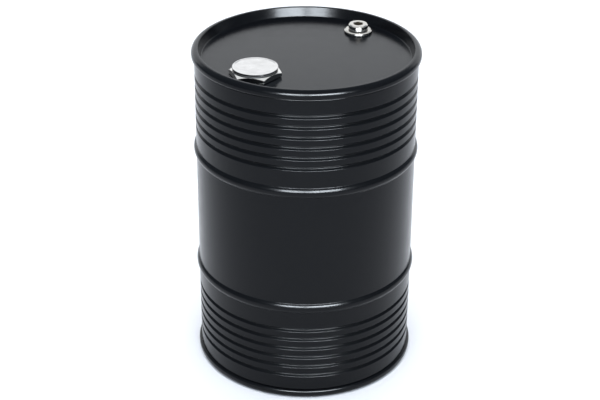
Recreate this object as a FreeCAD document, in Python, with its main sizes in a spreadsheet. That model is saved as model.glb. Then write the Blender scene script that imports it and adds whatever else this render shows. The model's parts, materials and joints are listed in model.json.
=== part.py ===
"""Tight-head steel drum: a beaded, hooped body, two seamed heads and two screwed closures.

Millimetres, +Z up. The origin is the centre of the ring that the drum stands on.
"""
import FreeCAD, Part
import math
import os
import Sketcher
from FreeCAD import Placement, Rotation, Vector

os.makedirs("parts", exist_ok=True)
doc = FreeCAD.newDocument("steel_drum")

# ---------------------------------------------------------------- driving dimensions
SIZES = {
    # drum
    "drum_height": 880.0,
    "body_radius": 285.6,        # outside of the rolled body
    "rim_radius": 292.5,         # outside of both chimes
    "sheet": 1.2,                # steel of the body and of the heads
    # chime, measured on the head: its height over the head's underside, then its corners
    "rim_rise": 26.2,
    "lip_rise": 3.2,
    "lip_radius": 283.9,
    "wall_foot_radius": 267.8,
    "wall_top_radius": 275.2,
    "rim_corner": 12.8,
    "lip_corner": 6.5,
    "wall_corner": 2.5,
    # body flange hooked into the chime, and the sealing compound beside it
    "hook_radius": 290.0,
    "hook_drop": 5.0,            # from the chime's crest to the flange
    "hook_depth": 10.0,
    "hook_corner": 4.0,
    "seal_gap": 0.4,
    "seal_depth": 15.0,
    # the body's step in below each chime, measured from the drum's end
    "neck_inset": 25.7,
    "neck_depth": 2.0,
    "neck_bend": 1.8,
    "neck_slope": 60.0,          # degrees
    # rolled beads (inwards) and rolling hoops (outwards)
    "bead_count": 6,
    "bead_inset": 68.8,          # from either end of the drum to its first bead
    "bead_pitch": 27.7,
    "bead_edge": 1.6,
    "bead_floor": 1.6,
    "bead_flank": 6.0,
    "bead_slope": 45.0,          # degrees
    "hoop_inset": 273.7,
    "hoop_foot": 2.0,
    "hoop_crest": 17.0,
    "hoop_flank": 1.9,
    "hoop_slope": 43.0,          # degrees
    # large closure, 2 inch pipe thread
    "large_reach": 183.3,        # from the drum's axis
    "large_bearing": 226.7,      # degrees from +X
    "large_twist": 51.0,         # degrees, turn of the flange's hexagon
    "large_hex": 67.0,           # centre to corner
    "large_chamfer_radius": 58.0,
    "large_chamfer_run": 18.0,   # the corner chamfer's slope, fall over run
    "large_chamfer_fall": 10.6,
    "large_hex_height": 13.0,
    "large_bore": 30.1,
    "large_neck": 38.0,
    "large_neck_depth": 20.0,
    "large_nut_hex": 52.0,
    "large_gasket_radius": 54.0,
    "large_disc": 56.6,
    "large_disc_height": 4.2,
    "large_disc_edge": 1.0,
    "large_seal_radius": 54.4,
    "large_seal_height": 4.2,
    "large_stem": 28.2,
    "large_stem_depth": 18.0,    # below the flange's top face
    # small closure, 3/4 inch pipe thread
    "small_reach": 209.5,
    "small_bearing": 49.8,
    "small_flange": 36.6,
    "small_flange_height": 6.0,
    "small_chamfer": 1.8,
    "small_bore": 13.4,
    "small_neck": 19.0,
    "small_neck_depth": 20.0,
    "small_nut_hex": 27.5,
    "small_gasket_radius": 34.6,
    "small_head": 25.5,
    "small_head_height": 13.6,
    "small_head_chamfer": 2.6,
    "small_seal_radius": 24.3,
    "small_seal_height": 1.6,
    "small_stem": 12.1,
    "small_stem_depth": 14.5,
    "socket_hex": 12.7,          # centre to corner, takes a 22 mm key
    "socket_depth": 12.0,
    "socket_mouth": 1.0,
    # shared by both closures
    "gasket": 2.0,
    "nut_height": 9.0,
    "nut_chamfer": 3.0,
    "bore_chamfer": 1.6,
    "fit_gap": 0.3,
    "past": 10.0,                # how far a cut runs past the piece that it cuts
}

sheet = doc.addObject("Spreadsheet::Sheet", "Sizes")
for row, (name, value) in enumerate(SIZES.items(), start=1):
    sheet.set(f"A{row}", name)
    sheet.set(f"B{row}", str(value))
    sheet.setAlias(f"B{row}", name)
doc.recompute()


def length(words):
    """The value of a sum of sheet names, such as "rim_rise - sheet"."""
    total, sign = 0.0, 1
    for word in words.split():
        if word in "+-":
            sign = 1 if word == "+" else -1
        else:
            total += sign * SIZES[word]
    return total


def bound(words):
    """The same sum as an expression on the spreadsheet."""
    return " ".join(word if word in "+-" else "Sizes." + word for word in words.split())


# ---------------------------------------------------------------- sketches and features
def plane_of(body, role):
    return next(item for item in body.Origin.OriginFeatures if item.Role == role)


def new_body(label):
    body = doc.addObject("PartDesign::Body", label)
    body.Label = label
    return body


def new_sketch(body, name, role):
    sketch = body.newObject("Sketcher::SketchObject", name)
    sketch.AttachmentSupport = [(plane_of(body, role), "")]
    sketch.MapMode = "FlatFace"
    return sketch


def hold(sketch, kind, geometry, point, words):
    """Fixes one coordinate of a point: to its axis for "0", or else to a sum of sheet names."""
    if words == "0":
        axis = -2 if kind == "DistanceX" else -1
        sketch.addConstraint(Sketcher.Constraint("PointOnObject", geometry, point, axis))
        return
    index = sketch.addConstraint(
        Sketcher.Constraint(kind, -1, 1, geometry, point, length(words)))
    sketch.setExpression(f"Constraints[{index}]", bound(words))


def outline(body, name, corners):
    """A closed straight-sided section on the XZ plane; corners are (radius, height) sums."""
    sketch = new_sketch(body, name, "XZ_Plane")
    points = [Vector(*(0.0 if c == "0" else length(c) for c in corner), 0) for corner in corners]
    count = len(points)
    for index in range(count):
        sketch.addGeometry(Part.LineSegment(points[index], points[(index + 1) % count]))
    for index in range(count):
        sketch.addConstraint(Sketcher.Constraint("Coincident", index, 2, (index + 1) % count, 1))
    for index, (radius, height) in enumerate(corners):
        hold(sketch, "DistanceX", index, 1, radius)
        hold(sketch, "DistanceY", index, 1, height)
    return sketch


def turn(body, name, corners, cut=False):
    """Adds, or cuts away, the solid that a section makes as it turns about the Z axis."""
    before = body.Shape.Volume if cut else 0.0
    sketch = outline(body, name + "_section", corners)
    kind = "PartDesign::Groove" if cut else "PartDesign::Revolution"
    feature = body.newObject(kind, name)
    feature.Profile = sketch
    feature.ReferenceAxis = (sketch, ["V_Axis"])
    feature.Angle = 360.0
    doc.recompute()
    if cut and body.Shape.Volume > before - 1.0:
        raise RuntimeError(f"{name} cut nothing from {body.Label}")
    return feature


def hexagon(body, name, corner_radius, low, high, cut=False):
    """Pads, or pockets, a hexagon with a corner on +X from one height to another."""
    before = body.Shape.Volume if cut else 0.0
    sketch = new_sketch(body, name + "_outline", "XY_Plane")
    sketch.setExpression(".AttachmentOffset.Base.z", bound(low))
    radius = length(corner_radius)
    points = [Vector(radius * math.cos(k * math.pi / 3), radius * math.sin(k * math.pi / 3), 0)
              for k in range(6)]
    for k in range(6):
        sketch.addGeometry(Part.LineSegment(points[k], points[(k + 1) % 6]))
    ring = sketch.addGeometry(Part.Circle(Vector(0, 0, 0), Vector(0, 0, 1), radius), True)
    sketch.addConstraint(Sketcher.Constraint("Coincident", ring, 3, -1, 1))
    for k in range(6):
        sketch.addConstraint(Sketcher.Constraint("Coincident", k, 2, (k + 1) % 6, 1))
        sketch.addConstraint(Sketcher.Constraint("PointOnObject", k, 1, ring))
    for k in range(5):
        sketch.addConstraint(Sketcher.Constraint("Equal", k, k + 1))
    sketch.addConstraint(Sketcher.Constraint("PointOnObject", 0, 1, -1))
    size = sketch.addConstraint(Sketcher.Constraint("Radius", ring, radius))
    sketch.setExpression(f"Constraints[{size}]", bound(corner_radius))
    feature = body.newObject("PartDesign::Pocket" if cut else "PartDesign::Pad", name)
    feature.Profile = sketch
    if cut:
        feature.Reversed = True
    feature.setExpression("Length", f"{bound(high)} - ({bound(low)})")
    doc.recompute()
    if cut and body.Shape.Volume > before - 1.0:
        raise RuntimeError(f"{name} cut nothing from {body.Label}")
    return feature


def ring_edges(shape, places):
    """Names of the circular edges about the Z axis at the given (radius, height) sums."""
    names = []
    for radius, height in places:
        for number, edge in enumerate(shape.Edges, start=1):
            curve = edge.Curve
            if not isinstance(curve, Part.Circle):
                continue
            near = abs(curve.Radius - length(radius)) < 1e-3
            level = 0.0 if height == "0" else length(height)
            if near and abs(curve.Center.z - level) < 1e-3 and curve.Center.x < 1e-3:
                names.append(f"Edge{number}")
    return names


def soften(body, name, places, radius):
    """Rounds turned corners with one fillet radius."""
    doc.recompute()
    base = body.Tip
    names = ring_edges(base.Shape, places)
    if len(names) != len(places):
        raise RuntimeError(f"{name} found {len(names)} of {len(places)} corners")
    fillet = body.newObject("PartDesign::Fillet", name)
    fillet.Base = (base, names)
    fillet.setExpression("Radius", bound(radius))
    doc.recompute()


def stand_at(body, reach, bearing, twist=None):
    """Stands a closure's piece on its own axis, reach from the drum's axis."""
    body.setExpression(".Placement.Base.x", f"Sizes.{reach} * cos(Sizes.{bearing} * 1 deg)")
    body.setExpression(".Placement.Base.y", f"Sizes.{reach} * sin(Sizes.{bearing} * 1 deg)")
    body.setExpression(".Placement.Rotation.Angle", f"Sizes.{twist} * 1 deg" if twist else "0 deg")


SUBPARTS = []


# ---------------------------------------------------------------- body
def bead(edges, level, way, edge, middle, flank, slope, plain):
    """Adds the arcs and flanks of one bead (way -1) or hoop (way +1), from its lower foot upwards.

    level is its middle's height and plain the radius of the sheet beside it. Returns both feet.
    """
    turned_by = math.radians(slope)
    across, along = math.sin(turned_by), math.cos(turned_by)
    half = (edge + middle) * across + flank * along
    rise = (edge + middle) * (1 - along) + flank * across

    def on_edge(angle):
        return (plain + way * edge * (1 - math.cos(angle)), half - edge * math.sin(angle))

    def on_middle(angle):
        return (plain + way * (rise - middle * (1 - math.cos(angle))), middle * math.sin(angle))

    def at(place, side):
        radius, height = place
        return Vector(radius, 0, level + side * height)

    foot = [at(on_edge(a), -1) for a in (0.0, turned_by / 2, turned_by)]
    crown = [at(on_middle(turned_by), -1), at(on_middle(0.0), 1), at(on_middle(turned_by), 1)]
    head = [at(on_edge(a), 1) for a in (turned_by, turned_by / 2, 0.0)]
    edges.append(Part.Arc(*foot).toShape())
    edges.append(Part.makeLine(foot[2], crown[0]))
    edges.append(Part.Arc(*crown).toShape())
    edges.append(Part.makeLine(crown[2], head[0]))
    edges.append(Part.Arc(*head).toShape())
    return foot[0], head[2]


def neck(inward, side):
    """Edges of the body's step in beside one chime (side 1 above, -1 below), on one face.

    Returns them, then the step's end on the plain sheet and its end on the necked sheet.
    """
    plain = SIZES["body_radius"] - inward
    slope, depth = math.radians(SIZES["neck_slope"]), SIZES["neck_depth"]
    outer = SIZES["neck_bend"] - inward
    inner = SIZES["neck_bend"] - SIZES["sheet"] + inward
    flank = (depth - (outer + inner) * (1 - math.cos(slope))) / math.sin(slope)
    rise = (outer + inner) * math.sin(slope) + flank * math.cos(slope)

    def at(radius, along):
        inset = SIZES["neck_inset"] - along
        return Vector(radius, 0, SIZES["drum_height"] - inset if side > 0 else inset)

    first = [at(plain - outer * (1 - math.cos(a)), outer * math.sin(a))
             for a in (0.0, slope / 2, slope)]
    second = [at(plain - depth + inner * (1 - math.cos(a)), rise - inner * math.sin(a))
              for a in (slope, slope / 2, 0.0)]
    edges = [Part.Arc(*first).toShape(), Part.makeLine(first[2], second[0]),
             Part.Arc(*second).toShape()]
    return edges, first[0], second[2]


def skin(inward, low, high):
    """One face of the body sheet in section, inward of its outside, from height low to high."""
    plain = SIZES["body_radius"] - inward
    height = SIZES["drum_height"]
    beads = [SIZES["bead_inset"] + k * SIZES["bead_pitch"] for k in range(SIZES["bead_count"])]
    features = [(level, -1) for level in beads] + [(SIZES["hoop_inset"], 1)]
    features += [(height - level, way) for level, way in reversed(features)]
    below, last, foot = neck(inward, -1)
    above, shoulder, crown = neck(inward, 1)
    edges = [Part.makeLine(Vector(foot.x, 0, low), foot)] + below
    for level, way in features:
        kind = "hoop" if way > 0 else "bead"
        edge = SIZES["hoop_foot" if way > 0 else "bead_edge"] + way * inward
        middle = SIZES["hoop_crest" if way > 0 else "bead_floor"] - way * inward
        bent = []
        first, top = bead(bent, level, way, edge, middle,
                          SIZES[kind + "_flank"], SIZES[kind + "_slope"], plain)
        edges.append(Part.makeLine(last, first))
        edges.extend(bent)
        last = top
    edges.append(Part.makeLine(last, shoulder))
    edges += above
    edges.append(Part.makeLine(crown, Vector(crown.x, 0, high)))
    return edges


def make_body_shell():
    """The rolled and welded body: beads, hoops, and necked ends hooked into the chimes."""
    height = SIZES["drum_height"]
    thick = SIZES["sheet"]
    outside = SIZES["body_radius"] - SIZES["neck_depth"]
    inside = outside - thick
    hook = SIZES["hook_radius"]
    flange = height - SIZES["hook_drop"]
    lap = flange - SIZES["hook_depth"]

    def hooked(radius, level, corner, low):
        """One face of the upper hook: out at a level, round a corner, then down to low."""
        middle = Vector(radius - corner, 0, level - corner)
        start, end = middle + Vector(0, 0, corner), middle + Vector(corner, 0, 0)
        bend = middle + Vector(corner * math.sqrt(0.5), 0, corner * math.sqrt(0.5))
        return [Part.Arc(start, bend, end).toShape(), Part.makeLine(end, Vector(radius, 0, low))]

    outer_face = hooked(hook, flange, SIZES["hook_corner"], lap)
    inner_face = hooked(hook - thick, flange - thick, SIZES["hook_corner"] - thick, lap)
    upper = [Part.makeLine(Vector(inside, 0, flange), outer_face[0].Vertexes[0].Point)]
    upper += outer_face + inner_face
    upper.append(Part.makeLine(Vector(outside, 0, flange - thick), inner_face[0].Vertexes[0].Point))
    upper.append(Part.makeLine(Vector(hook - thick, 0, lap), Vector(hook, 0, lap)))
    lower = [edge.mirror(Vector(0, 0, height / 2), Vector(0, 0, 1)) for edge in upper]

    edges = skin(0.0, height - flange + thick, flange - thick) + upper
    edges += skin(thick, height - flange, flange) + lower
    section = Part.Face(Part.Wire(Part.__sortEdges__(edges)))
    shell = doc.addObject("Part::Feature", "body_shell")
    shell.Shape = section.revolve(Vector(0, 0, 0), Vector(0, 0, 1), 360)
    shell.Placement = Placement()
    SUBPARTS.append(shell)


# ---------------------------------------------------------------- heads
def make_head(label):
    """A pressed head. Its own origin is its underside; its chime curls over the body's edge."""
    head = new_body(label)
    turn(head, "pressing", [
        ("0", "0"),
        ("wall_foot_radius + sheet", "0"),
        ("wall_top_radius + sheet", "rim_rise - sheet"),
        ("rim_radius - sheet", "rim_rise - sheet"),
        ("rim_radius - sheet", "lip_rise + sheet"),
        ("lip_radius", "lip_rise + sheet"),
        ("lip_radius", "lip_rise"),
        ("rim_radius", "lip_rise"),
        ("rim_radius", "rim_rise"),
        ("wall_top_radius", "rim_rise"),
        ("wall_foot_radius", "sheet"),
        ("0", "sheet"),
    ])
    soften(head, "rim_outside", [("rim_radius", "rim_rise")], "rim_corner")
    soften(head, "rim_inside", [("rim_radius - sheet", "rim_rise - sheet")], "rim_corner - sheet")
    soften(head, "lip_outside", [("rim_radius", "lip_rise")], "lip_corner")
    soften(head, "lip_inside", [("rim_radius - sheet", "lip_rise + sheet")], "lip_corner - sheet")
    soften(head, "wall_crest", [("wall_top_radius", "rim_rise"),
                                ("wall_foot_radius", "sheet"),
                                ("wall_foot_radius + sheet", "0")], "wall_corner")
    return head


def pierce(head, name, reach, bearing, radius):
    """Cuts the hole of one closure through a head."""
    sketch = new_sketch(head, name + "_circle", "XY_Plane")
    angle = math.radians(SIZES[bearing])
    middle = Vector(SIZES[reach] * math.cos(angle), SIZES[reach] * math.sin(angle), 0)
    circle = sketch.addGeometry(Part.Circle(middle, Vector(0, 0, 1), length(radius)))
    size = sketch.addConstraint(Sketcher.Constraint("Radius", circle, length(radius)))
    across = sketch.addConstraint(Sketcher.Constraint("DistanceX", -1, 1, circle, 3, middle.x))
    along = sketch.addConstraint(Sketcher.Constraint("DistanceY", -1, 1, circle, 3, middle.y))
    sketch.setExpression(f"Constraints[{size}]", bound(radius))
    sketch.setExpression(f"Constraints[{across}]", f"Sizes.{reach} * cos(Sizes.{bearing} * 1 deg)")
    sketch.setExpression(f"Constraints[{along}]", f"Sizes.{reach} * sin(Sizes.{bearing} * 1 deg)")
    before = head.Shape.Volume
    hole = head.newObject("PartDesign::Pocket", name)
    hole.Profile = sketch
    hole.Reversed = True
    hole.setExpression("Length", bound("rim_rise"))
    doc.recompute()
    if head.Shape.Volume > before - 1.0:
        raise RuntimeError(f"{name} cut nothing from {head.Label}")


def make_heads():
    top = make_head("top_head")
    pierce(top, "large_hole", "large_reach", "large_bearing", "large_neck + fit_gap")
    pierce(top, "small_hole", "small_reach", "small_bearing", "small_neck + fit_gap")
    top.setExpression(".Placement.Base.z", "Sizes.drum_height - Sizes.rim_rise")
    bottom = make_head("bottom_head")
    bottom.Placement = Placement(Vector(0, 0, SIZES["rim_rise"]), Rotation(Vector(1, 0, 0), 180))
    bottom.setExpression(".Placement.Base.z", "Sizes.rim_rise")
    SUBPARTS.extend([top, bottom])


def make_seam_seals():
    """Sealing compound, a ring between the countersunk wall and the body's edge."""
    inner = "wall_top_radius + sheet + seal_gap"
    outer = "body_radius - neck_depth - sheet - seal_gap"
    crest = "rim_rise - sheet - seal_gap"
    for label in ("top_seam_compound", "bottom_seam_compound"):
        ring = new_body(label)
        turn(ring, "compound", [(inner, crest), (outer, crest),
                                (outer, crest + " - seal_depth"), (inner, crest + " - seal_depth")])
        SUBPARTS.append(ring)
    top, bottom = SUBPARTS[-2:]
    top.setExpression(".Placement.Base.z", "Sizes.drum_height - Sizes.rim_rise")
    bottom.Placement = Placement(Vector(0, 0, SIZES["rim_rise"]), Rotation(Vector(1, 0, 0), 180))
    bottom.setExpression(".Placement.Base.z", "Sizes.rim_rise")


# ---------------------------------------------------------------- closures
HEAD_TOP = "drum_height - rim_rise + sheet"
HEAD_UNDER = "drum_height - rim_rise"


def make_ring(label, inner, outer, low, high):
    """A flat ring: a gasket or a washer."""
    ring = new_body(label)
    turn(ring, "ring", [(inner, low), (outer, low), (outer, high), (inner, high)])
    return ring


def make_nut(label, corner, neck, under):
    """A hexagonal back nut below a height, chamfered at its lower corners."""
    low = under + " - nut_height"
    nut = new_body(label)
    hexagon(nut, "hexagon", corner, low, under)
    turn(nut, "thread", [("0", low + " - past"), (neck + " + fit_gap", low + " - past"),
                         (neck + " + fit_gap", under + " + past"), ("0", under + " + past")],
         cut=True)
    turn(nut, "corners", [(corner + " - nut_chamfer", low),
                          (corner + " + nut_chamfer", low + " + nut_chamfer"),
                          (corner + " + nut_chamfer", low + " - past"),
                          (corner + " - nut_chamfer", low + " - past")], cut=True)
    return nut


def make_large_closure():
    """Hexagonal flange held by a back nut, and a disc-headed plug on a seal."""
    low = HEAD_TOP + " + gasket"
    high = low + " + large_hex_height"
    flange = new_body("large_flange")
    hexagon(flange, "hexagon", "large_hex", low, high)
    turn(flange, "neck", [("0", HEAD_UNDER + " - large_neck_depth"),
                          ("large_neck", HEAD_UNDER + " - large_neck_depth"),
                          ("large_neck", low + " + bore_chamfer"),
                          ("0", low + " + bore_chamfer")])
    slope_end = "large_chamfer_radius + large_chamfer_run"
    turn(flange, "corner_chamfer", [("large_chamfer_radius", high),
                                    (slope_end, high + " - large_chamfer_fall"),
                                    (slope_end, high + " + past"),
                                    ("large_chamfer_radius", high + " + past")], cut=True)
    turn(flange, "bore", [("0", HEAD_UNDER + " - large_neck_depth - past"),
                          ("large_bore", HEAD_UNDER + " - large_neck_depth - past"),
                          ("large_bore", high + " - bore_chamfer"),
                          ("large_bore + bore_chamfer", high),
                          ("large_bore + bore_chamfer", high + " + past"),
                          ("0", high + " + past")], cut=True)
    seat = make_ring("large_flange_gasket", "large_neck + fit_gap", "large_gasket_radius",
                     HEAD_TOP, low)
    inner = make_ring("large_inner_gasket", "large_neck + fit_gap", "large_nut_hex - gasket",
                      HEAD_UNDER + " - gasket", HEAD_UNDER)
    nut = make_nut("large_back_nut", "large_nut_hex", "large_neck", HEAD_UNDER + " - gasket")

    disc_low = high + " + large_seal_height"
    disc_high = disc_low + " + large_disc_height"
    seal = make_ring("large_plug_gasket", "large_bore + bore_chamfer + bore_chamfer",
                     "large_seal_radius", high, disc_low)
    plug = new_body("large_plug")
    turn(plug, "disc_and_stem", [
        ("0", high + " - large_stem_depth"),
        ("large_stem - bore_chamfer", high + " - large_stem_depth"),
        ("large_stem", high + " - large_stem_depth + bore_chamfer"),
        ("large_stem", disc_low),
        ("large_disc", disc_low),
        ("large_disc", disc_high),
        ("0", disc_high),
    ])
    soften(plug, "disc_edge", [("large_disc", disc_high)], "large_disc_edge")
    pieces = [flange, seat, inner, nut, seal, plug]
    for piece in pieces:
        stand_at(piece, "large_reach", "large_bearing", "large_twist")
    SUBPARTS.extend(pieces)


def make_small_closure():
    """Round flange held by a back nut, and a socket-headed plug on a seal."""
    low = HEAD_TOP + " + gasket"
    high = low + " + small_flange_height"
    flange = new_body("small_flange")
    turn(flange, "flange_and_neck", [
        ("small_bore", HEAD_UNDER + " - small_neck_depth"),
        ("small_neck", HEAD_UNDER + " - small_neck_depth"),
        ("small_neck", low),
        ("small_flange", low),
        ("small_flange", high + " - small_chamfer"),
        ("small_flange - small_chamfer - small_chamfer", high),
        ("small_bore", high),
    ])
    seat = make_ring("small_flange_gasket", "small_neck + fit_gap", "small_gasket_radius",
                     HEAD_TOP, low)
    inner = make_ring("small_inner_gasket", "small_neck + fit_gap", "small_nut_hex - gasket",
                      HEAD_UNDER + " - gasket", HEAD_UNDER)
    nut = make_nut("small_back_nut", "small_nut_hex", "small_neck", HEAD_UNDER + " - gasket")

    head_low = high + " + small_seal_height"
    head_high = head_low + " + small_head_height"
    seal = make_ring("small_plug_gasket", "small_bore + bore_chamfer", "small_seal_radius",
                     high, head_low)
    plug = new_body("small_plug")
    turn(plug, "head_and_stem", [
        ("0", high + " - small_stem_depth"),
        ("small_stem - bore_chamfer", high + " - small_stem_depth"),
        ("small_stem", high + " - small_stem_depth + bore_chamfer"),
        ("small_stem", head_low),
        ("small_head", head_low),
        ("small_head", head_high + " - small_head_chamfer"),
        ("small_head - small_head_chamfer", head_high),
        ("0", head_high),
    ])
    hexagon(plug, "socket", "socket_hex", head_high + " - socket_depth", head_high, cut=True)
    turn(plug, "socket_mouth", [
        ("0", head_high + " - socket_mouth"),
        ("socket_hex - socket_mouth", head_high + " - socket_mouth"),
        ("socket_hex + socket_mouth", head_high),
        ("socket_hex + socket_mouth", head_high + " + socket_mouth"),
        ("0", head_high + " + socket_mouth"),
    ], cut=True)
    pieces = [flange, seat, inner, nut, seal, plug]
    for piece in pieces:
        stand_at(piece, "small_reach", "small_bearing")
    SUBPARTS.extend(pieces)


# ---------------------------------------------------------------- build, check, write
make_body_shell()
make_heads()
make_seam_seals()
make_large_closure()
make_small_closure()
doc.recompute()

for item in doc.Objects:
    if "Invalid" in item.State or "Error" in item.State:
        raise RuntimeError(f"{item.Label} failed: {item.State}")
for item in SUBPARTS:
    shape = item.Shape
    if shape.isNull() or not shape.isValid() or len(shape.Solids) != 1:
        raise RuntimeError(f"{item.Label} isn't one valid solid")
    box = shape.BoundBox
    print(f"{item.Label:22s} {shape.Volume / 1000:9.2f} cm3   z {box.ZMin:7.2f} to {box.ZMax:7.2f}")
    shape.exportStep(f"parts/{item.Label}.step")
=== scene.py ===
"""Looks of the steel drum: its turned and pressed meshes, threads and materials, and the studio."""
import json
import math

import bmesh
import bpy
from mathutils import Matrix, Vector

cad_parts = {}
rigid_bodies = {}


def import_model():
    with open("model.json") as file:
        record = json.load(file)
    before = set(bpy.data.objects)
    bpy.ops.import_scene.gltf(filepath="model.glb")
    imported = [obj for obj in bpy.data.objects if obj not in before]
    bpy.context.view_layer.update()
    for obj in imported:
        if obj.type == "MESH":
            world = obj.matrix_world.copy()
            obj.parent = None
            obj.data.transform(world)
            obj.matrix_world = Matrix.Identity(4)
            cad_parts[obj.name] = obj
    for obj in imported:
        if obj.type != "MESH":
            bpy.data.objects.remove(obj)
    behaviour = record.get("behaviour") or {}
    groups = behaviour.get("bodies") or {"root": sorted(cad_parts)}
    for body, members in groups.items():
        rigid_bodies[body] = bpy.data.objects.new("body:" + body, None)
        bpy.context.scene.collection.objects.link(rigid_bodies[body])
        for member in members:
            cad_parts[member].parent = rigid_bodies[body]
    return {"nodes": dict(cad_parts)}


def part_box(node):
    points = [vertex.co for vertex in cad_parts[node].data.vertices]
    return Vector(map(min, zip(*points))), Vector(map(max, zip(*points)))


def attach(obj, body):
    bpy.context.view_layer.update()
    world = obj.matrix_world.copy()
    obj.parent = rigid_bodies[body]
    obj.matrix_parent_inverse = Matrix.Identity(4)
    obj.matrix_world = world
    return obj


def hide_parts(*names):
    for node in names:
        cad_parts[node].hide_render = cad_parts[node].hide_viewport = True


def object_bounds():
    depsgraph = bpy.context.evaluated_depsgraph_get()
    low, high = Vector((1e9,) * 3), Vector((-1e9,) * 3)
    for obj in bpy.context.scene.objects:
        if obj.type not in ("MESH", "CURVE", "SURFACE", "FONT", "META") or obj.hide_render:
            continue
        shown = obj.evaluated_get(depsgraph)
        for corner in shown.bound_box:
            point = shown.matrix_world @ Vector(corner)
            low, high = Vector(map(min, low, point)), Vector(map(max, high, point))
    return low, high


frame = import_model()
CAD_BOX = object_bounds()

MM = 0.001

# ---------------------------------------------------------------- sizes, in metres
LOW, HIGH = CAD_BOX
HEIGHT = HIGH[2] - LOW[2]
RIM_RADIUS = min(HIGH[0] - LOW[0], HIGH[1] - LOW[1]) / 2
SHEET = 1.2 * MM
BODY_RADIUS = 285.6 * MM
RIM_RISE = 26.2 * MM            # the chime's crest over the head's underside
LIP_RISE = 3.2 * MM             # the curl's lower edge over it
LIP_RADIUS = 283.9 * MM
WALL_FOOT = 267.8 * MM          # the wall round the head leans out from here
WALL_TOP = 275.2 * MM           # to here
RIM_CORNER = 12.8 * MM
LIP_CORNER = 6.5 * MM
WALL_CORNER = 2.5 * MM

# roundings at the edge and the middle, straight flank and its slope
BEAD = {"edge": 1.6 * MM, "middle": 1.6 * MM, "flank": 6.0 * MM, "slope": math.radians(45.0)}
HOOP = {"edge": 2.0 * MM, "middle": 17.0 * MM, "flank": 1.9 * MM, "slope": math.radians(43.0)}
BEAD_COUNT = 6
BEAD_INSET = 68.8 * MM
BEAD_PITCH = 27.7 * MM
HOOP_INSET = 273.7 * MM
HOOK_RADIUS = 290.0 * MM        # the body's flanged edge inside the chime
HOOK_DROP = 5.0 * MM
HOOK_DEPTH = 10.0 * MM
HOOK_CORNER = 4.0 * MM
NECK_INSET = 25.7 * MM          # the body's step in below each chime
NECK_DEPTH = 2.0 * MM
NECK_BEND = 1.8 * MM
NECK_SLOPE = math.radians(60.0)
SEAM_BEARING = math.radians(118.0)   # the body's weld, behind
SEAM_WIDTH = 9.0 * MM
SEAM_RISE = 0.35 * MM

LARGE_PITCH = 2.309 * MM        # 2 inch pipe thread
LARGE_DEPTH = 1.45 * MM
SMALL_PITCH = 1.814 * MM        # 3/4 inch pipe thread
SMALL_DEPTH = 1.1 * MM
THREAD_STEPS = 72               # segments in one turn of a thread
THREAD_ROOT = 0.36              # half widths of its ridge, as shares of the pitch
THREAD_CREST = 0.07
THREAD_SUNK = 0.25              # how far its foot is sunk in the wall, as a share of its depth
THREAD_RUN_OUT = math.radians(70.0)
LARGE_START = math.radians(51.0)     # bearing of a corner of the large hexagons
LARGE_NECK = 38.0 * MM
SMALL_NECK = 19.0 * MM
NECK_PLAY = 0.3 * MM            # gaskets and back nuts are wider than the necks by this

BODY_TURNS = 288                # segments round the drum
PART_TURNS = 192                # segments round a closure's pieces
ARC_STEP = math.radians(9.0)
GUARD = 0.35 * MM               # a loop this close to each corner keeps flats flat in shading
LONG_RUN = 6 * GUARD            # straight runs over this length get such loops
MERGE = 1e-7                    # points closer than this become one
SHARP = math.radians(32.0)      # edges over this angle stay sharp in shading
SHARP_THREAD = math.radians(25.0)


# ---------------------------------------------------------------- sections
def rounded(corners, closed=True):
    """Points of a section whose corners are (radius, height) or (radius, height, rounding)."""
    count = len(corners)
    points = []
    for index, corner in enumerate(corners):
        here = Vector(corner[:2])
        rounding = corner[2] if len(corner) > 2 else 0.0
        ends = not closed and index in (0, count - 1)
        if not rounding or ends:
            points.append(here)
            continue
        back = (Vector(corners[index - 1][:2]) - here).normalized()
        ahead = (Vector(corners[(index + 1) % count][:2]) - here).normalized()
        opening = back.angle(ahead)
        reach = rounding / math.tan(opening / 2)
        middle = here + (back + ahead).normalized() * rounding / math.sin(opening / 2)
        first, last = here + back * reach, here + ahead * reach
        steps = max(2, math.ceil((math.pi - opening) / ARC_STEP))
        start = first - middle
        turn = math.pi - opening
        if start.x * (last - middle).y - start.y * (last - middle).x < 0:
            turn = -turn
        for step in range(steps + 1):
            points.append(middle + Matrix.Rotation(turn * step / steps, 2) @ start)
    return points


def guarded(points, closed=True):
    """Adds a point close to each end of every long straight run."""
    count = len(points)
    result = []
    for index, here in enumerate(points):
        result.append(here)
        if index == count - 1 and not closed:
            continue
        ahead = points[(index + 1) % count]
        run = ahead - here
        if run.length > LONG_RUN:
            step = run.normalized() * GUARD
            result.extend([here + step, ahead - step])
    return result


def bead_points(level, way, shape, inward):
    """Section points of a bead (way -1) or hoop (way +1), on a face inward of the outside."""
    edge = shape["edge"] + way * inward
    middle = shape["middle"] - way * inward
    slope = shape["slope"]
    half = (edge + middle) * math.sin(slope) + shape["flank"] * math.cos(slope)
    rise = (edge + middle) * (1 - math.cos(slope)) + shape["flank"] * math.sin(slope)
    plain = BODY_RADIUS - inward
    steps = max(3, math.ceil(slope / ARC_STEP))
    lower = []
    for step in range(steps + 1):
        angle = slope * step / steps
        lower.append((way * edge * (1 - math.cos(angle)), -half + edge * math.sin(angle)))
    for step in range(steps, 0, -1):
        angle = slope * step / steps
        lower.append((way * (rise - middle * (1 - math.cos(angle))), -middle * math.sin(angle)))
    crown = [(way * rise, 0.0)]
    upper = [(radius, -height) for radius, height in reversed(lower)]
    return [Vector((plain + radius, level + height)) for radius, height in lower + crown + upper]


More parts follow.
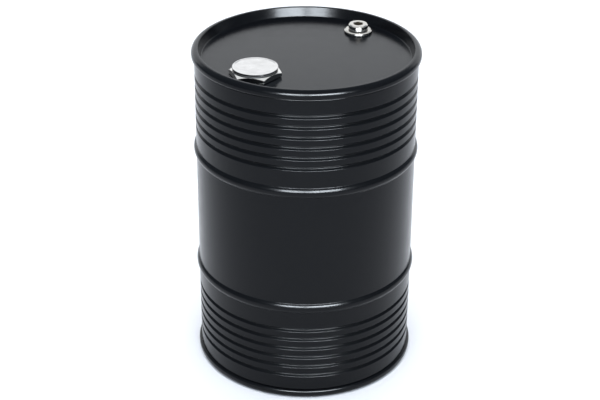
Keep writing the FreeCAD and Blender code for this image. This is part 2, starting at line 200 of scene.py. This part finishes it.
def neck_points(inward):
    """The body's step in below the upper chime, on a face inward of its outside, upwards."""
    outer, inner = NECK_BEND - inward, NECK_BEND - SHEET + inward
    flank = (NECK_DEPTH - (outer + inner) * (1 - math.cos(NECK_SLOPE))) / math.sin(NECK_SLOPE)
    rise = (outer + inner) * math.sin(NECK_SLOPE) + flank * math.cos(NECK_SLOPE)
    start, plain = HEIGHT - NECK_INSET, BODY_RADIUS - inward
    steps = math.ceil(NECK_SLOPE / ARC_STEP)
    angles = [NECK_SLOPE * step / steps for step in range(steps + 1)]
    points = [Vector((plain - outer * (1 - math.cos(angle)), start + outer * math.sin(angle)))
              for angle in angles]
    points += [Vector((plain - NECK_DEPTH + inner * (1 - math.cos(angle)),
                       start + rise - inner * math.sin(angle))) for angle in reversed(angles)]
    return points


def skin(inward):
    """One face of the body's sheet from its bottom to its top, without its ends."""
    features = [(BEAD_INSET + k * BEAD_PITCH, -1, BEAD) for k in range(BEAD_COUNT)]
    features.append((HOOP_INSET, 1, HOOP))
    features += [(HEIGHT - level, way, shape) for level, way, shape in reversed(features)]
    above = neck_points(inward)
    points = [Vector((p[0], HEIGHT - p[1])) for p in reversed(above)]
    for level, way, shape in features:
        points += bead_points(level, way, shape, inward)
    return points + above


# ---------------------------------------------------------------- meshes
def finish_mesh(name, vertices, faces, sharp=SHARP):
    """A mesh object with merged points, outward normals and smooth shading up to an angle."""
    mesh = bpy.data.meshes.new(name)
    mesh.from_pydata(vertices, [], faces)
    work = bmesh.new()
    work.from_mesh(mesh)
    bmesh.ops.remove_doubles(work, verts=work.verts, dist=MERGE)
    bmesh.ops.dissolve_degenerate(work, dist=MERGE, edges=work.edges)
    bmesh.ops.recalc_face_normals(work, faces=work.faces)
    work.to_mesh(mesh)
    work.free()
    for polygon in mesh.polygons:
        polygon.use_smooth = True
    mesh.set_sharp_from_angle(angle=sharp)
    piece = bpy.data.objects.new(name, mesh)
    bpy.context.scene.collection.objects.link(piece)
    return piece


def lathe(name, section, angles, centre=(0.0, 0.0), closed=True):
    """Turns a section about a vertical axis. section is a list, or a function of the angle."""
    rings = [section(angle) if callable(section) else section for angle in angles]
    vertices = []
    for angle, ring in zip(angles, rings):
        across, along = math.cos(angle), math.sin(angle)
        vertices += [(centre[0] + p[0] * across, centre[1] + p[0] * along, p[1]) for p in ring]
    size = len(rings[0])
    spans = size if closed else size - 1
    faces = []
    for turn in range(len(angles)):
        this, following = turn * size, ((turn + 1) % len(angles)) * size
        for index in range(spans):
            ahead = (index + 1) % size
            faces.append((this + index, following + index, following + ahead, this + ahead))
    return finish_mesh(name, vertices, faces)


def even_angles(count, start=0.0):
    """Evenly spaced angles of one turn."""
    return [start + 2 * math.pi * k / count for k in range(count)]


def flat_radius(corner):
    """Distance from a hexagon's middle to its flats."""
    return corner * math.cos(math.pi / 6)


def hexagon_radius(corner, start):
    """Distance from a hexagon's middle to its side, as a function of the angle."""
    flat = flat_radius(corner)

    def radius(angle):
        return flat / math.cos((angle - start) % (math.pi / 3) - math.pi / 6)
    return radius


def thread(name, base, tip, pitch, low, high, centre, start=0.0):
    """A right-hand ridge on a wall of radius base; it reaches tip, inwards or outwards."""
    turns = (high - low) / pitch
    whole = 2 * math.pi * turns
    steps = math.ceil(turns * THREAD_STEPS)
    root_half, tip_half = THREAD_ROOT * pitch, THREAD_CREST * pitch
    sunk = base + (base - tip) * THREAD_SUNK
    vertices = []
    for step in range(steps + 1):
        angle = whole * step / steps
        level = low + pitch * angle / (2 * math.pi)
        ends = min(1.0, min(angle, whole - angle) / THREAD_RUN_OUT)
        reach = base + (tip - base) * ends
        across = math.cos(angle + start), math.sin(angle + start)
        ridge = ((sunk, -root_half), (base, -root_half), (reach, -tip_half),
                 (reach, tip_half), (base, root_half), (sunk, root_half))
        for radius, side in ridge:
            vertices.append((centre[0] + radius * across[0], centre[1] + radius * across[1],
                             level + side))
    size = len(ridge)
    faces = []
    for step in range(steps):
        this, following = step * size, (step + 1) * size
        for index in range(size):
            ahead = (index + 1) % size
            faces.append((this + index, following + index, following + ahead, this + ahead))
    faces.append(tuple(range(size)))
    faces.append(tuple(steps * size + k for k in reversed(range(size))))
    return finish_mesh(name, vertices, faces, SHARP_THREAD)


# ---------------------------------------------------------------- materials
def new_material(name, colour, roughness, metallic=0.0):
    """A material with its node tree and its shader."""
    material = bpy.data.materials.new(name)
    material.use_nodes = True
    shader = material.node_tree.nodes["Principled BSDF"]
    shader.inputs["Base Color"].default_value = (*colour, 1.0)
    shader.inputs["Roughness"].default_value = roughness
    shader.inputs["Metallic"].default_value = metallic
    return material, material.node_tree, shader


def position(tree):
    """The place on the object, in metres."""
    return tree.nodes.new("ShaderNodeTexCoord").outputs["Object"]


def noise(tree, vector, scale, detail=3.0, roughness=0.5):
    """A noise value with about scale lumps to the metre."""
    node = tree.nodes.new("ShaderNodeTexNoise")
    node.inputs["Scale"].default_value = scale
    node.inputs["Detail"].default_value = detail
    node.inputs["Roughness"].default_value = roughness
    tree.links.new(vector, node.inputs["Vector"])
    return node.outputs["Fac"]


def spread(tree, value, low, high, start=0.3, end=0.7):
    """Maps a noise value onto the range low to high."""
    node = tree.nodes.new("ShaderNodeMapRange")
    node.inputs["From Min"].default_value = start
    node.inputs["From Max"].default_value = end
    node.inputs["To Min"].default_value = low
    node.inputs["To Max"].default_value = high
    tree.links.new(value, node.inputs["Value"])
    return node.outputs["Result"]


def blend_colours(tree, value, first, second):
    """The colour between two that a value from 0 to 1 picks."""
    node = tree.nodes.new("ShaderNodeMix")
    node.data_type = "RGBA"
    tree.links.new(value, node.inputs["Factor"])
    node.inputs["A"].default_value = (*first, 1.0)
    node.inputs["B"].default_value = (*second, 1.0)
    return node.outputs["Result"]


def bump(tree, value, distance, strength=1.0, below=None):
    """A normal for a relief of this depth, on top of the one below."""
    node = tree.nodes.new("ShaderNodeBump")
    node.inputs["Distance"].default_value = distance
    node.inputs["Strength"].default_value = strength
    tree.links.new(value, node.inputs["Height"])
    if below is not None:
        tree.links.new(below, node.inputs["Normal"])
    return node.outputs["Normal"]


def enamel():
    """Satin black enamel: a faint orange peel over slow waves, a fine grain and uneven gloss."""
    material, tree, shader = new_material("black_enamel", (0.003, 0.0035, 0.0045), 0.2)
    where = position(tree)
    peel = noise(tree, where, 420.0, detail=2.0)
    grain = noise(tree, where, 1500.0, detail=2.0)
    wave = noise(tree, where, 9.0, detail=2.0)
    patches = noise(tree, where, 34.0, detail=4.0)
    normal = bump(tree, wave, 0.3 * MM, 0.5)
    normal = bump(tree, peel, 0.035 * MM, 0.7, normal)
    normal = bump(tree, grain, 0.012 * MM, 0.6, normal)
    tree.links.new(normal, shader.inputs["Normal"])
    tree.links.new(spread(tree, patches, 0.19, 0.24), shader.inputs["Roughness"])
    tint = blend_colours(tree, spread(tree, grain, 0.0, 1.0), (0.0024, 0.0028, 0.0036),
                         (0.0038, 0.0043, 0.0054))
    tree.links.new(tint, shader.inputs["Base Color"])
    shader.inputs["Specular IOR Level"].default_value = 0.148
    return material


def turned_metal(name, centre, colour, roughness, marks, waves):
    """Plated metal: turning marks round a vertical axis on a wavy face; both are depths."""
    material, tree, shader = new_material(name, colour, roughness, 1.0)
    where = position(tree)
    offset = tree.nodes.new("ShaderNodeVectorMath")
    offset.operation = "SUBTRACT"
    offset.inputs[1].default_value = (centre[0], centre[1], 0.0)
    tree.links.new(where, offset.inputs[0])
    split = tree.nodes.new("ShaderNodeSeparateXYZ")
    tree.links.new(offset.outputs[0], split.inputs[0])
    flat = tree.nodes.new("ShaderNodeCombineXYZ")
    tree.links.new(split.outputs["X"], flat.inputs["X"])
    tree.links.new(split.outputs["Y"], flat.inputs["Y"])
    radius = tree.nodes.new("ShaderNodeVectorMath")
    radius.operation = "LENGTH"
    tree.links.new(flat.outputs[0], radius.inputs[0])
    across = tree.nodes.new("ShaderNodeCombineXYZ")
    tree.links.new(radius.outputs["Value"], across.inputs["X"])
    tree.links.new(split.outputs["Z"], across.inputs["Y"])
    lines = noise(tree, across.outputs[0], 900.0, roughness=0.7)
    smudge = noise(tree, where, 45.0)
    wavy = bump(tree, noise(tree, where, 55.0, detail=2.0), waves)
    tree.links.new(bump(tree, lines, marks, 0.5, wavy), shader.inputs["Normal"])
    tree.links.new(spread(tree, smudge, roughness * 0.75, roughness * 1.35),
                   shader.inputs["Roughness"])
    dulled, bright = [c * 0.9 for c in colour], [c * 1.1 for c in colour]
    tree.links.new(blend_colours(tree, spread(tree, smudge, 0.0, 1.0), dulled, bright),
                   shader.inputs["Base Color"])
    return material


def zinc():
    """Dull zinc plate with a faint spangle."""
    material, tree, shader = new_material("zinc_plate", (0.55, 0.56, 0.58), 0.42, 1.0)
    where = position(tree)
    spangle = noise(tree, where, 160.0, detail=4.0, roughness=0.6)
    tree.links.new(spread(tree, spangle, 0.34, 0.52), shader.inputs["Roughness"])
    tree.links.new(bump(tree, spangle, 0.03 * MM, 0.5), shader.inputs["Normal"])
    return material


def painted_socket_shade():
    """Painted shade for the inside of the key's socket: a deep brown-black colour that stands in
    for the shade in the recess, mottled at random.
    """
    material, tree, shader = new_material("socket_painted_shade", (0.045, 0.036, 0.024), 0.5)
    where = position(tree)
    shade_mottle = noise(tree, where, 380.0, roughness=0.6)
    tree.links.new(blend_colours(tree, spread(tree, shade_mottle, 0.0, 1.0), (0.03, 0.024, 0.016),
                                 (0.07, 0.055, 0.035)), shader.inputs["Base Color"])
    tree.links.new(bump(tree, shade_mottle, 0.05 * MM, 0.6), shader.inputs["Normal"])
    return material


def rubber():
    """Matt black rubber."""
    material, tree, shader = new_material("black_rubber", (0.016, 0.016, 0.016), 0.62)
    where = position(tree)
    grain = noise(tree, where, 700.0)
    tree.links.new(spread(tree, grain, 0.55, 0.75), shader.inputs["Roughness"])
    tree.links.new(bump(tree, grain, 0.03 * MM, 0.7), shader.inputs["Normal"])
    return material


def compound():
    """Dried sealing compound."""
    material, tree, shader = new_material("seam_compound", (0.09, 0.085, 0.078), 0.7)
    where = position(tree)
    lumps = noise(tree, where, 260.0, detail=4.0, roughness=0.6)
    tree.links.new(blend_colours(tree, lumps, (0.07, 0.066, 0.06), (0.12, 0.112, 0.1)),
                   shader.inputs["Base Color"])
    tree.links.new(bump(tree, lumps, 0.15 * MM, 0.8), shader.inputs["Normal"])
    return material


def dress(piece, body, slot, material, *nodes):
    """Paints a piece, puts it on its body, and hides the CAD nodes that it stands for; the slot
    argument is not used.
    """
    piece.data.materials.clear()
    piece.data.materials.append(material)
    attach(piece, body)
    if nodes:
        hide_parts(*nodes)


# ---------------------------------------------------------------- drum
def seam_angles():
    """Even angles round the body, with close ones across its weld."""
    half = SEAM_WIDTH / 2 / BODY_RADIUS
    close = [SEAM_BEARING + half * share for share in (-1.0, -0.7, -0.4, 0.0, 0.4, 0.7, 1.0)]
    plain = [angle for angle in even_angles(BODY_TURNS)
             if abs(angle - SEAM_BEARING) > half * 1.2]
    return sorted(plain + close)


def make_shell(paint):
    """The body with its beads and hoops, its flanged edges and its side weld."""
    top = HEIGHT - HOOK_DROP
    outside = BODY_RADIUS - NECK_DEPTH
    lap = top - HOOK_DEPTH
    outer, inner = skin(0.0), skin(SHEET)
    hook = rounded([(outside, top - SHEET),
                    (HOOK_RADIUS - SHEET, top - SHEET, HOOK_CORNER - SHEET),
                    (HOOK_RADIUS - SHEET, lap), (HOOK_RADIUS, lap),
                    (HOOK_RADIUS, top, HOOK_CORNER), (outside - SHEET, top)], closed=False)
    foot = [Vector((p[0], HEIGHT - p[1])) for p in reversed(hook)]
    section = guarded(outer + hook + list(reversed(inner)) + foot)
    half = SEAM_WIDTH / 2

    def at(angle):
        off = abs(angle - SEAM_BEARING) * BODY_RADIUS
        rise = SEAM_RISE * (1.0 - (off / half) ** 4) if off < half else 0.0
        return [(p[0] + rise, p[1]) for p in section]

    dress(lathe("drum_body", at, seam_angles()), "drum", "black_paint", paint, "body_shell")


def head_section():
    """A head's section from its middle out over the chime and back, heights over its underside.

    The closures cover its holes, so it has none here.
    """
    return [
        (0.0, SHEET),
        (WALL_FOOT, SHEET, WALL_CORNER),
        (WALL_TOP, RIM_RISE, WALL_CORNER),
        (RIM_RADIUS, RIM_RISE, RIM_CORNER),
        (RIM_RADIUS, LIP_RISE, LIP_CORNER),
        (LIP_RADIUS, LIP_RISE),
        (LIP_RADIUS, LIP_RISE + SHEET),
        (RIM_RADIUS - SHEET, LIP_RISE + SHEET, LIP_CORNER - SHEET),
        (RIM_RADIUS - SHEET, RIM_RISE - SHEET, RIM_CORNER - SHEET),
        (WALL_TOP + SHEET, RIM_RISE - SHEET),
        (WALL_FOOT + SHEET, 0.0, WALL_CORNER),
        (0.0, 0.0),
    ]


def make_heads(paint):
    """The two pressed heads, whose curled edges are the chimes."""
    section = guarded(rounded(head_section(), closed=False), closed=False)
    raised = [Vector((p[0], p[1] + HEIGHT - RIM_RISE)) for p in section]
    lowered = [Vector((p[0], RIM_RISE - p[1])) for p in section]
    for name, turned, node in (("head_top", raised, "top_head"),
                               ("head_bottom", lowered, "bottom_head")):
        piece = lathe(name, turned, even_angles(BODY_TURNS), closed=False)
        dress(piece, "drum", "black_paint", paint, node)


# ---------------------------------------------------------------- closures
def middle_of(node):
    """Where a node's axis stands on the plan."""
    low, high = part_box(node)
    return ((low[0] + high[0]) / 2, (low[1] + high[1]) / 2)


def make_ring(node, body, inner, outer, material, rounding=0.6 * MM):
    """A gasket: a flat ring between the heights of its CAD node, with soft corners."""
    low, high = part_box(node)
    section = guarded(rounded([(inner, low[2]), (outer, low[2], rounding),
                               (outer, high[2], rounding), (inner, high[2])]))
    piece = lathe(node + "_ring", section, even_angles(PART_TURNS), middle_of(node))
    dress(piece, body, "rubber", material, node)


def make_nut(node, bore, corner, start, material):
    """A hexagonal back nut with chamfered corners."""
    low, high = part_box(node)
    side = hexagon_radius(corner, start)
    flat = flat_radius(corner)
    face, edge = flat - 0.5 * MM, 0.3 * MM
    drop = math.tan(math.radians(30.0))

    def at(angle):
        radius = side(angle)
        fall = (radius - flat) * drop + edge
        return [(bore, low[2]), (face, low[2]), (radius, low[2] + fall),
                (radius, high[2] - fall), (face, high[2]), (bore, high[2])]

    piece = lathe(node + "_hexagon", at, even_angles(PART_TURNS, start), middle_of(node))
    dress(piece, "drum", "zinc", material, node)


def soft_edges(piece, width):
    """Rounds a piece's sharp edges a little, so that they catch the light."""
    bevel = piece.modifiers.new("edges", "BEVEL")
    bevel.width = width
    bevel.segments = 2
    bevel.limit_method = "ANGLE"
    bevel.angle_limit = math.radians(24.0)
    bevel.harden_normals = True
    return piece


def make_large_closure(metal, metal_plug, black, plate):
    """The hexagonal flange, the disc plug and their gaskets and back nut."""
    centre = middle_of("large_plug")
    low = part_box("large_flange")[0]
    plug_low, plug_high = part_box("large_plug")
    seal_low, seal_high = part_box("large_plug_gasket")
    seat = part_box("large_flange_gasket")[1][2]
    top = seal_low[2]
    corner, apron, gap = 67.0 * MM, 58.0 * MM, 0.4 * MM
    bore, mouth = 30.1 * MM, 1.6 * MM
    side = hexagon_radius(corner - gap, LARGE_START)
    drop = math.tan(math.radians(30.5))     # the slope of the chamfer round the hexagon's top

    def flange(angle):
        radius = side(angle)
        return [(bore, low[2]), (bore, top - mouth), (bore + mouth, top), (apron, top),
                (radius, top - (radius - apron) * drop), (radius, seat), (LARGE_NECK, seat),
                (LARGE_NECK, low[2])]

    piece = lathe("large_hexagon_flange", flange, even_angles(PART_TURNS, LARGE_START), centre)
    dress(soft_edges(piece, 0.45 * MM), "drum", "plated_steel", metal, "large_flange")
    inner = thread("large_flange_thread", bore, bore - LARGE_DEPTH, LARGE_PITCH,
                   low[2] + LARGE_PITCH, top - 0.5 * LARGE_PITCH, centre, start=math.pi)
    dress(inner, "drum", "plated_steel", metal)

    disc, rim, dip, stem = 56.6 * MM, 3.0 * MM, 0.9 * MM, 28.2 * MM
    edge = 0.4 * MM
    under, crest = seal_high[2], plug_high[2]
    section = guarded(rounded([
        (0.0, crest - dip),
        (disc - rim - dip, crest - dip, 0.6 * MM),
        (disc - rim, crest, edge),
        (disc, crest, edge),
        (disc, under, edge),
        (stem, under),
        (stem, plug_low[2] + mouth),
        (stem - mouth, plug_low[2]),
        (0.0, plug_low[2]),
    ], closed=False), closed=False)
    plug = lathe("large_disc_plug", section, even_angles(PART_TURNS), centre, closed=False)
    dress(plug, "large_plug", "plated_steel", metal_plug, "large_plug")
    outer = thread("large_plug_thread", stem, stem + LARGE_DEPTH, LARGE_PITCH,
                   plug_low[2] + 0.8 * LARGE_PITCH, top - 0.4 * LARGE_PITCH, centre)
    dress(outer, "large_plug", "plated_steel", metal)

    hole = LARGE_NECK + NECK_PLAY
    make_ring("large_plug_gasket", "large_seal", 33.3 * MM, 54.4 * MM, black)
    make_ring("large_flange_gasket", "drum", hole, 54.0 * MM, black)
    make_ring("large_inner_gasket", "drum", hole, 50.0 * MM, black)
    make_nut("large_back_nut", hole, 52.0 * MM, LARGE_START, plate)


def make_small_closure(metal, black, plate, dark):
    """The round flange, the plug with its key's socket, and their gaskets and back nut."""
    centre = middle_of("small_plug")
    low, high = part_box("small_flange")
    plug_low, plug_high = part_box("small_plug")
    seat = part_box("small_flange_gasket")[1][2]
    top = high[2]
    bore, edge, fall = 13.4 * MM, 36.6 * MM, 1.8 * MM
    section = guarded(rounded([
        (bore, low[2]), (SMALL_NECK, low[2]), (SMALL_NECK, seat), (edge, seat, 0.5 * MM),
        (edge, top - fall, 0.3 * MM), (edge - 2 * fall, top, 0.6 * MM), (bore, top, 0.6 * MM),
    ]))
    flange = lathe("small_round_flange", section, even_angles(PART_TURNS), centre)
    dress(flange, "drum", "plated_steel", metal, "small_flange")
    inner = thread("small_flange_thread", bore, bore - SMALL_DEPTH, SMALL_PITCH,
                   low[2] + SMALL_PITCH, top - 0.5 * SMALL_PITCH, centre, start=math.pi)
    dress(inner, "drum", "plated_steel", metal)

    stem, head, chamfer, groove = 12.1 * MM, 25.5 * MM, 2.6 * MM, 0.7 * MM
    key, depth, mouth = 12.7 * MM, 12.0 * MM, 1.0 * MM
    under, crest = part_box("small_plug_gasket")[1][2], plug_high[2]
    floor = crest - depth
    side = hexagon_radius(key, 0.0)
    outside = guarded(rounded([
        (key + mouth, crest, 0.3 * MM),
        (head - chamfer, crest, 0.7 * MM),
        (head, crest - chamfer, 0.7 * MM),
        (head, under + 3.4 * MM, 0.2 * MM),
        (head - groove, under + 2.9 * MM, 0.2 * MM),
        (head, under + 2.4 * MM, 0.2 * MM),
        (head, under, 0.5 * MM),
        (stem, under),
        (stem, plug_low[2] + mouth),
        (stem - mouth, plug_low[2]),
        (0.0, plug_low[2]),
    ], closed=False), closed=False)

    def plug(angle):
        radius = side(angle)
        lip = max(radius, key - mouth)
        level = crest - mouth + max(0.0, radius - key + mouth) / 2
        return [(0.0, floor), (radius, floor), (radius, level), (lip, level)] + outside

    piece = lathe("small_socket_plug", plug, even_angles(PART_TURNS), centre, closed=False)
    dress(piece, "small_plug", "plated_steel", metal, "small_plug")
    # The second material is painted shade for the faces inside the key's socket, in place of the
    # plating.
    piece.data.materials.append(dark)
    socket_low, socket_high = crest - 1.02 * depth, crest - 0.5 * mouth
    for polygon in piece.data.polygons:
        off = math.hypot(polygon.center.x - centre[0], polygon.center.y - centre[1])
        if off < key and socket_low < polygon.center.z < socket_high:
            polygon.material_index = 1
    outer = thread("small_plug_thread", stem, stem + SMALL_DEPTH, SMALL_PITCH,
                   plug_low[2] + 0.9 * SMALL_PITCH, top - 0.4 * SMALL_PITCH, centre)
    dress(outer, "small_plug", "plated_steel", metal)

    hole = SMALL_NECK + NECK_PLAY
    make_ring("small_plug_gasket", "small_seal", 15.0 * MM, 24.3 * MM, black, 0.4 * MM)
    make_ring("small_flange_gasket", "drum", hole, 34.6 * MM, black)
    make_ring("small_inner_gasket", "drum", hole, 25.5 * MM, black)
    make_nut("small_back_nut", hole, 27.5 * MM, 0.0, plate)


def paint_seams(material):
    """The compound in the two seams keeps its CAD shape and gets its material."""
    for node in ("top_seam_compound", "bottom_seam_compound"):
        seal = frame["nodes"][node]
        seal.data.materials.clear()
        seal.data.materials.append(material)
        for polygon in seal.data.polygons:
            polygon.material_index = 0


# ---------------------------------------------------------------- floor, light and camera
FLOOR_SIZE = 40.0
ROOM_COLOUR = (0.72, 0.85, 1.0, 1.0)
ROOM_STRENGTH = 0.38
COOL = (0.86, 0.93, 1.0)
COOLER = (0.84, 0.91, 1.0)
WHITE = (1.0, 1.0, 1.0)
BOX_DISTANCE = 4.3
OVERHEAD = Vector((0.0, 0.7, 3.6))
OVERHEAD_SIZE = 5.0
FILL_PLACE = Vector((0.0, -3.2, 4.0))
FILL_WAY = Vector((0.0, 3.0, -4.0))
FILL_SIZE = 4.0
DOWN = Vector((0.0, 0.0, -1.0))

CAMERA_PLACE = (0.0, -3.4547, 2.2767)
CAMERA_LENS = 87.9
CAMERA_YAW = math.radians(-0.235)
CAMERA_PITCH = math.radians(28.04)      # downwards
CAMERA_ROLL = math.radians(0.362)


def make_floor():
    """A wide pale floor with faint clouds in its colour."""
    bpy.ops.mesh.primitive_plane_add(size=FLOOR_SIZE, location=(0.0, 0.0, LOW[2]))
    floor = bpy.context.object
    floor.name = "floor"
    material, tree, shader = new_material("pale_floor", (0.86, 0.86, 0.88), 0.6)
    cloud = noise(tree, position(tree), 1.5, detail=2.0)
    tree.links.new(blend_colours(tree, cloud, (0.85, 0.85, 0.875), (0.88, 0.88, 0.895)),
                   shader.inputs["Base Color"])
    shader.inputs["Specular IOR Level"].default_value = 0.0
    floor.data.materials.append(material)


def area_light(name, place, way, width, height, radiance, colour=WHITE):
    """A rectangular lamp that shines along way."""
    data = bpy.data.lights.new(name, "AREA")
    data.shape = "RECTANGLE"
    data.size = width
    data.size_y = height
    data.energy = radiance * math.pi * width * height
    data.color = colour
    lamp = bpy.data.objects.new(name, data)
    lamp.location = place
    lamp.rotation_euler = way.to_track_quat("-Z", "Y").to_euler()
    bpy.context.scene.collection.objects.link(lamp)
    return lamp


def softbox(name, left, right, low, high, radiance, colour=WHITE):
    """A panel set by the angles at which the drum's top sees its sides; -Y is 0 degrees."""
    middle = Vector((0.0, 0.0, HIGH[2]))
    turn, lift = math.radians((left + right) / 2), math.radians((low + high) / 2)
    width = 2 * BOX_DISTANCE * math.tan(math.radians(right - left) / 2)
    height = 2 * BOX_DISTANCE * math.tan(math.radians(high - low) / 2)
    way = Vector((math.sin(turn) * math.cos(lift), -math.cos(turn) * math.cos(lift),
                  math.sin(lift)))
    return area_light(name, middle + way * BOX_DISTANCE, -way, width, height, radiance, colour)


def shine_on(surfaces, lamps):
    """These lamps show only in the highlights of these surfaces."""
    for lamp in lamps:
        lamp.visible_diffuse = False
        lamp.light_linking.receiver_collection = surfaces


def make_light():
    """A dim room, soft boxes in front, a white backdrop behind and a wash over drum and floor.

    The paint gets bright boxes and the plated pieces gentler ones.
    """
    world = bpy.data.worlds.new("studio")
    bpy.context.scene.world = world
    world.use_nodes = True
    background = world.node_tree.nodes["Background"]
    background.inputs["Color"].default_value = ROOM_COLOUR
    background.inputs["Strength"].default_value = ROOM_STRENGTH

    painted = bpy.data.collections.new("painted")
    plated = bpy.data.collections.new("plated")
    for item in bpy.context.scene.objects:
        if item.type == "MESH" and item.data.materials:
            surface = item.data.materials[0]
            (plated if surface and "plate" in surface.name else painted).objects.link(item)
    shine_on(painted, [softbox("left_box", -23.0, -3.0, 12.6, 28.0, 80.0, COOL),
                       softbox("right_box", 4.0, 33.0, 12.6, 28.0, 91.0, COOL),
                       softbox("low_box", -22.0, 33.0, 7.0, 12.0, 48.0, COOL)])
    shine_on(plated, [softbox("plate_box", -22.0, 30.0, 6.0, 26.0, 2.6),
                      area_light("plate_top", OVERHEAD, DOWN, OVERHEAD_SIZE, OVERHEAD_SIZE,
                                 1.0)])
    softbox("backdrop", 130.0, 230.0, -8.0, 34.0, 1.28)
    wash = area_light("floor_wash", OVERHEAD, DOWN, OVERHEAD_SIZE, OVERHEAD_SIZE, 1.1)
    wash.data.spread = math.radians(110.0)
    wash.visible_glossy = False
    fill = area_light("floor_fill", FILL_PLACE, FILL_WAY, FILL_SIZE, FILL_SIZE, 3.45, COOLER)
    fill.visible_glossy = False


def make_camera():
    """Looks down at the drum's front from well above it."""
    data = bpy.data.cameras.new("camera")
    data.lens = CAMERA_LENS
    data.sensor_width = 36.0
    camera = bpy.data.objects.new("camera", data)
    ahead = Vector((math.sin(CAMERA_YAW) * math.cos(CAMERA_PITCH),
                    math.cos(CAMERA_YAW) * math.cos(CAMERA_PITCH), -math.sin(CAMERA_PITCH)))
    level = Vector((math.cos(CAMERA_YAW), -math.sin(CAMERA_YAW), 0.0))
    above = level.cross(ahead)
    right = level * math.cos(CAMERA_ROLL) + above * math.sin(CAMERA_ROLL)
    up = above * math.cos(CAMERA_ROLL) - level * math.sin(CAMERA_ROLL)
    turn = Matrix((right, up, -ahead)).transposed().to_4x4()
    camera.matrix_world = Matrix.Translation(CAMERA_PLACE) @ turn
    bpy.context.scene.collection.objects.link(camera)
    bpy.context.scene.camera = camera


def main():
    """Makes the drum's pieces, then the studio."""
    black_enamel = enamel()
    black_rubber = rubber()
    large_metal = turned_metal("large_flange_plate", middle_of("large_plug"),
                               (0.54, 0.53, 0.51), 0.18, marks=0.01 * MM, waves=0.04 * MM)
    disc_metal = turned_metal("large_plug_plate", middle_of("large_plug"),
                              (0.525, 0.515, 0.505), 0.18, marks=0.012 * MM, waves=0.65 * MM)
    small_metal = turned_metal("small_plate", middle_of("small_plug"),
                               (0.45, 0.43, 0.40), 0.22, marks=0.01 * MM, waves=0.03 * MM)
    dull_zinc = zinc()
    make_shell(black_enamel)
    make_heads(black_enamel)
    make_large_closure(large_metal, disc_metal, black_rubber, dull_zinc)
    make_small_closure(small_metal, black_rubber, dull_zinc, painted_socket_shade())
    paint_seams(compound())
    make_floor()
    make_light()
    make_camera()
    bpy.context.scene.view_settings.view_transform = "Standard"


main()
